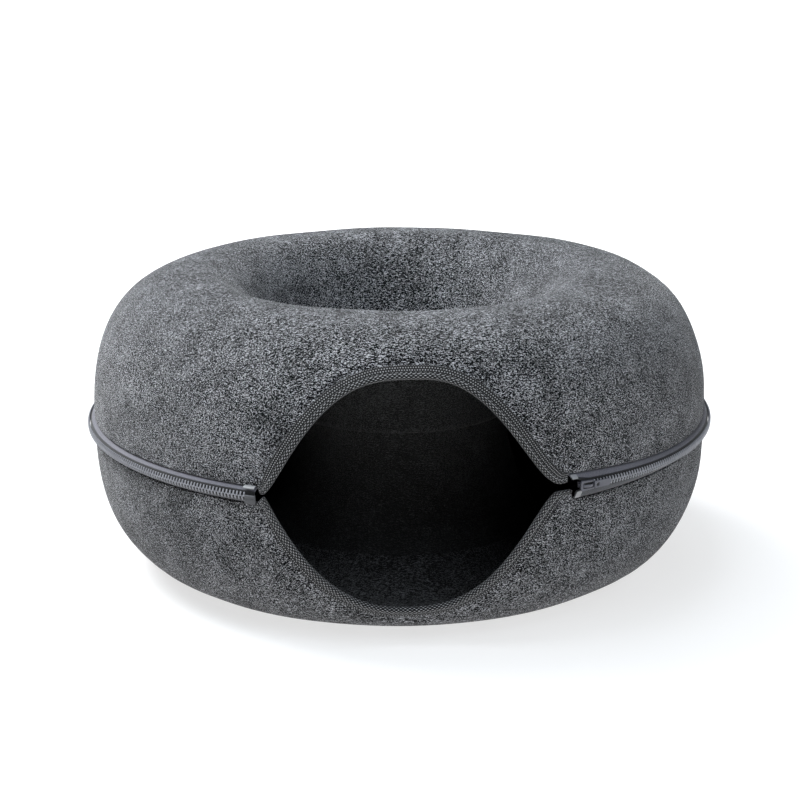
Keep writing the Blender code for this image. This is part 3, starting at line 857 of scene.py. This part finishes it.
def combine(piece, operation, other):
    """Adds the other piece to a piece or cuts it away, and uses it up."""
    modify(piece, "BOOLEAN", operation=operation, solver="EXACT", object=other)
    bpy.data.objects.remove(other, do_unlink=True)


def settle(piece, frame_there, look, node):
    """Moves a finished piece's mesh to its place, smooths it and ties it to the frame."""
    piece.data.transform(frame_there)
    bpy.ops.object.select_all(action="DESELECT")
    bpy.context.view_layer.objects.active = piece
    piece.select_set(True)
    bpy.ops.object.shade_smooth_by_angle(angle=radians(38))
    piece.data.materials.clear()
    piece.data.materials.append(look)
    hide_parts(node)
    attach(piece, "root")


def moulded_material(name, dark, pale, roughness, **constants):
    """Moulded or painted finish: two close tones, a fine grain and a faint unevenness."""
    made, paint, shader = new_material(name, roughness=roughness, **constants)
    place = place_on(paint)
    blotch = noise(paint, place, 260.0, 3.0)
    grain = noise(paint, place, 2600.0, 1.0)
    worn = paint.node("MapRange", None, {"Value": blotch, "To Min": roughness - 0.08,
                                         "To Max": roughness + 0.12})
    return wire(made, shader, base_color=paint.mix(blotch, dark, pale), roughness=worn,
                normal=bump(paint, grain, 0.25, 0.0001))


def retainer_box():
    box = new_block("retainer_box_moulded", (BOX_LENGTH, BOX_DEPTH, BOX_HEIGHT), (0, 0, -BOX_DROP))
    round_edges(box, lambda a, b: True, BOX_ROUNDING, 3)
    combine(box, "DIFFERENCE", new_block("groove", (BOX_LENGTH * 1.2, 0.0006, GROOVE_WIDTH),
                                         (0, -BOX_DEPTH / 2, -BOX_DROP + GROOVE_RISE)))
    return box


retainer_look = moulded_material("grey_moulding", (0.055, 0.056, 0.060), (0.10, 0.102, 0.107), 0.55,
                                 specular_ior_level=0.25)
settle(retainer_box(), zip_frame(BOX_ANGLE, BOX_RADIUS), retainer_look, "retainer_box")


# ---------------------------------------------------------------- end films
# The tapes' raw ends are stiffened with a thin pale film, pressed on hot. It shows as three small
# patches beside the box and the slider.
FILM, FILM_COLUMNS, FILM_CLEARANCE = 0.0004, 12, 0.00012
FILM_LENGTH = {"left": 2.0, "right": 1.1}


def end_film(side, end):
    outermost = SEAM_ENDS[side][0 if end == "left" else 1]
    inner = outermost + FILM_LENGTH[end] * (-1 if end == "left" else 1)
    angle = np.linspace(outermost, inner, FILM_COLUMNS)
    edge, bend, free = (np.array(point) for point in tape_line(side, angle)[3:])
    line = rounded_line([edge * 0.85 + bend * 0.15, bend, bend * 0.5 + free * 0.5])
    clear = ZIP_TAPE / 2 + FILM_CLEARANCE
    section = beside_line(line, -clear) + beside_line(line, -clear - FILM)[::-1]
    rows = [zip_points(side, angle, radius, height) for radius, height in section]
    return new_piece("film_%s_%s" % (side, end), rows, strip_faces(len(section), FILM_COLUMNS))


film_look = moulded_material("pale_film", (0.17, 0.172, 0.176), (0.32, 0.324, 0.33), 0.45)
for side, end in (("upper", "left"), ("upper", "right"), ("lower", "right")):
    settle(end_film(side, end), Matrix.Identity(4), film_look,
           "end_film_%s_%s" % (side, end))


# ---------------------------------------------------------------- slider
# A grey painted slider rides on the chain and parks at the door's right corner. Two plates, joined
# by a post, hold the teeth between them. A low arched lug carries the tab. It stands in a recess of
# the front plate, whose bottom is painted dark as shade.
SLIDER_LENGTH, SLIDER_HEIGHT, PLATE, SLIDER_TAPER = 0.0125, 0.0082, 0.0013, 0.80
SLIDER_FRONT, SLIDER_BACK = CHAIN_RADIUS + GAP + PLATE / 2, CHAIN_RADIUS - 0.0041
BACK_PLATE_SHARE, BACK_PLATE_HEIGHT = 0.8, 0.0044
POST_LENGTH, POST_HEIGHT, POST_PLACE = 0.0022, 0.0016, -0.32
LUG_LENGTH, LUG_RISE, LUG_HALF_THICKNESS, LUG_HALF_HEIGHT = 0.0080, 0.0026, 0.00060, 0.0011
RECESS_LENGTH, RECESS_HEIGHT, RECESS_DEPTH = LUG_LENGTH + 0.0016, 0.0046, 0.0006


def slider_lug():
    """Half a ring of oval section, standing on the plate and flattened to its rise."""
    bpy.ops.object.select_all(action="DESELECT")
    bpy.ops.mesh.primitive_circle_add(vertices=12, radius=1, fill_type="NGON",
                                      location=(-LUG_LENGTH / 2, 0, 0), rotation=(pi / 2, 0, 0))
    lug = bpy.context.object
    lug.scale = (LUG_HALF_THICKNESS, LUG_HALF_HEIGHT, 1)
    bpy.ops.object.transform_apply(location=True, rotation=True, scale=True)
    bpy.ops.object.mode_set(mode="EDIT")
    bpy.ops.mesh.select_all(action="SELECT")
    bpy.ops.mesh.spin(steps=14, angle=pi, center=(0, 0, 0), axis=(0, 0, 1), dupli=False)
    bpy.ops.mesh.select_all(action="SELECT")
    bpy.ops.mesh.normals_make_consistent(inside=False)
    bpy.ops.object.mode_set(mode="OBJECT")
    top = max(abs(vert.co.y) for vert in lug.data.vertices)
    for vert in lug.data.vertices:
        vert.co.y = -abs(vert.co.y) * (LUG_RISE / top)
    return lug


def slider():
    body = new_block("slider_body", (SLIDER_LENGTH, PLATE, SLIDER_HEIGHT), (0, 0, 0))
    for vert in body.data.vertices:          # the plate narrows towards the closed chain
        if vert.co.x > 0:
            vert.co.z *= SLIDER_TAPER
    round_edges(body, lambda a, b: abs(a.y - b.y) > PLATE / 2, 0.0016, 5)
    round_edges(body, lambda a, b: a.y < 0 and b.y < 0, 0.0004, 3)
    reach = SLIDER_FRONT - SLIDER_BACK
    extra = [
        new_block("back_plate", (SLIDER_LENGTH * BACK_PLATE_SHARE, PLATE, BACK_PLATE_HEIGHT),
                  (0, reach, 0)),
        new_block("post", (POST_LENGTH, reach, POST_HEIGHT),
                  (SLIDER_LENGTH * POST_PLACE, reach / 2, 0)),
        slider_lug(),
    ]
    recess = new_block("recess", (RECESS_LENGTH, 2 * RECESS_DEPTH, RECESS_HEIGHT),
                       (0, -PLATE / 2, 0))
    round_edges(recess, lambda a, b: abs(a.y - b.y) > RECESS_DEPTH, 0.0015, 5)
    combine(body, "DIFFERENCE", recess)
    for piece in extra:
        combine(body, "UNION", piece)
    return body


slider_look = moulded_material("slider_paint", (0.060, 0.060, 0.074), (0.105, 0.106, 0.126), 0.35,
                               metallic=0.3, coat_weight=0.2)
# Near-black paint for the bottom of the recess: painted shade.
painted_shade_recess_look = moulded_material("slider_recess_painted_shade", (0.003, 0.003, 0.004), (0.010, 0.010, 0.012), 0.7)
body = slider()
settle(body, Matrix.Identity(4), slider_look, "slider")
body.data.materials.append(painted_shade_recess_look)
for face in body.data.polygons:              # painted shade darkens the bottom of the recess
    x, y, z = face.center
    on_bottom = abs(y + PLATE / 2 - RECESS_DEPTH) < 0.00005
    if on_bottom and abs(x) < 0.0050 and abs(z) < 0.0024:
        face.material_index = 1
body.data.transform(zip_frame(CHAIN_ENDS[1] - 0.9, SLIDER_FRONT))


# ---------------------------------------------------------------- pull tab
# A flat tab with a round end and a slot, painted as the slider is. It hangs in the slider's lug and
# lies back along the teeth.
TAB_LENGTH, TAB_WIDTH, TAB = 0.0150, 0.0054, 0.0009
SLOT_LENGTH, SLOT_WIDTH, SLOT_START = 0.0032, 0.0028, 0.0010
TAB_RADIUS = CHAIN_RADIUS + 2 * GAP + PLATE + 0.00045


def pull_tab():
    tab = new_block("pull_tab_plate", (TAB_LENGTH, TAB, TAB_WIDTH), (TAB_LENGTH / 2, 0, 0))
    round_edges(tab, lambda a, b: abs(a.y - b.y) > TAB / 2 and a.x > TAB_LENGTH / 2, 0.0025, 8)
    round_edges(tab, lambda a, b: abs(a.y - b.y) > TAB / 2 and a.x < 0.0001, 0.0012, 5)
    slot = new_block("slot", (SLOT_LENGTH, 4 * TAB, SLOT_WIDTH),
                     (SLOT_LENGTH / 2 + SLOT_START, 0, 0))
    round_edges(slot, lambda a, b: abs(a.y - b.y) > TAB, 0.0007, 4)
    combine(tab, "DIFFERENCE", slot)
    modify(tab, "BEVEL", width=0.00016, segments=2, limit_method="ANGLE", angle_limit=radians(50))
    return tab


settle(pull_tab(), zip_frame(CHAIN_ENDS[1] + 0.2, TAB_RADIUS), slider_look, "pull_tab")


# ---------------------------------------------------------------- floor, lights and camera
# A plain white floor and a low white backdrop far round it, a large soft light from behind on the
# left, weaker cool ones from above, from the front and right and from the back, and a camera at the
# height of someone who kneels in front of the door.
FLOOR_SIZE, BACKDROP_RADIUS, BACKDROP_HEIGHT = 60, 29, 3
GLOW_NEAR, GLOW_FAR = 0.45, 1.6              # the floor glows a little less close to the object
LIGHT_DISTANCE, LIGHT_AIM = 5.2, Vector((0, 0, 0.12))
WHITE, COOL = (1, 1, 1), (0.84, 0.92, 1)
LIGHTS = (   # name, way round from the front, degrees up, size, watts, tint
    ("key_light", -126, 48, 2.8, 410, WHITE),
    ("top_light", -90, 72, 3.2, 195, COOL),
    ("high_front_light", -20, 58, 2.8, 60, COOL),
    ("front_light", 40, 42, 2.8, 64, COOL),
    ("low_right_light", 60, 15, 2.4, 8, COOL),
    ("back_light", 180, 42, 2.8, 50, COOL),
)

bpy.ops.object.select_all(action="DESELECT")
bpy.ops.mesh.primitive_plane_add(size=FLOOR_SIZE, location=(0, 0, 0))
floor = bpy.context.object
floor.name = "studio_floor"
floor_look, paint, shader = new_material("white_floor", roughness=0.9, emission_strength=1.0)
shader.inputs["Base Color"].default_value = (0.35, 0.35, 0.35, 1)
away = paint.node("VectorMath", {"operation": "LENGTH"}, {"Vector": place_on(paint)}, out=1)
glow = paint.mix(span(paint, away, GLOW_NEAR, GLOW_FAR), (0.68, 0.68, 0.68), (1, 1, 1))
floor.data.materials.append(wire(floor_look, shader, emission_color=glow))
bpy.ops.mesh.primitive_cylinder_add(vertices=96, radius=BACKDROP_RADIUS, depth=BACKDROP_HEIGHT,
                                    end_fill_type="NOTHING", location=(0, 0, BACKDROP_HEIGHT / 2))
backdrop = bpy.context.object
backdrop.name = "studio_backdrop"
backdrop.data.materials.append(floor_look)


def outward(azimuth, elevation):
    """The way from the object to a place round it: 0 is the front, and elevations are upward."""
    level = Vector((sin(azimuth) * cos(elevation), -cos(azimuth) * cos(elevation), 0))
    return level + Vector((0, 0, sin(elevation)))


for name, azimuth, height, size, power, tint in LIGHTS:
    light = bpy.data.lights.new(name, "AREA")
    light.shape, light.size, light.energy, light.color = "SQUARE", size, power, tint
    lamp = bpy.data.objects.new(name, light)
    lamp.location = LIGHT_DISTANCE * outward(radians(azimuth), radians(height))
    lamp.rotation_euler = (LIGHT_AIM - lamp.location).to_track_quat("-Z", "Y").to_euler()
    bpy.context.collection.objects.link(lamp)

world = bpy.data.worlds.new("studio")
world.use_nodes = True
background = world.node_tree.nodes["Background"]
background.inputs["Color"].default_value = (1, 1, 1, 1)
background.inputs["Strength"].default_value = 0.03
bpy.context.scene.world = world
bpy.context.scene.view_settings.view_transform = "Standard"

camera = bpy.data.cameras.new("camera")
camera.sensor_width, camera.lens = 36, 86.13
camera.shift_x, camera.shift_y = 0.00084, 0.0344
camera.clip_start = 0.01
viewpoint = bpy.data.objects.new("camera", camera)
bpy.context.collection.objects.link(viewpoint)
turn, elevation, distance, roll = radians(-1.6), radians(16.6667), 1.5958, radians(-0.369)
back = outward(turn, elevation)
viewpoint.location = Vector((0, RING_CENTRE_Y, 0.10)) + distance * back
viewpoint.rotation_mode = "QUATERNION"
tilt = Matrix.Rotation(roll, 4, "Z").to_quaternion()
viewpoint.rotation_quaternion = (-back).to_track_quat("-Z", "Y") @ tilt
bpy.context.scene.camera = viewpoint
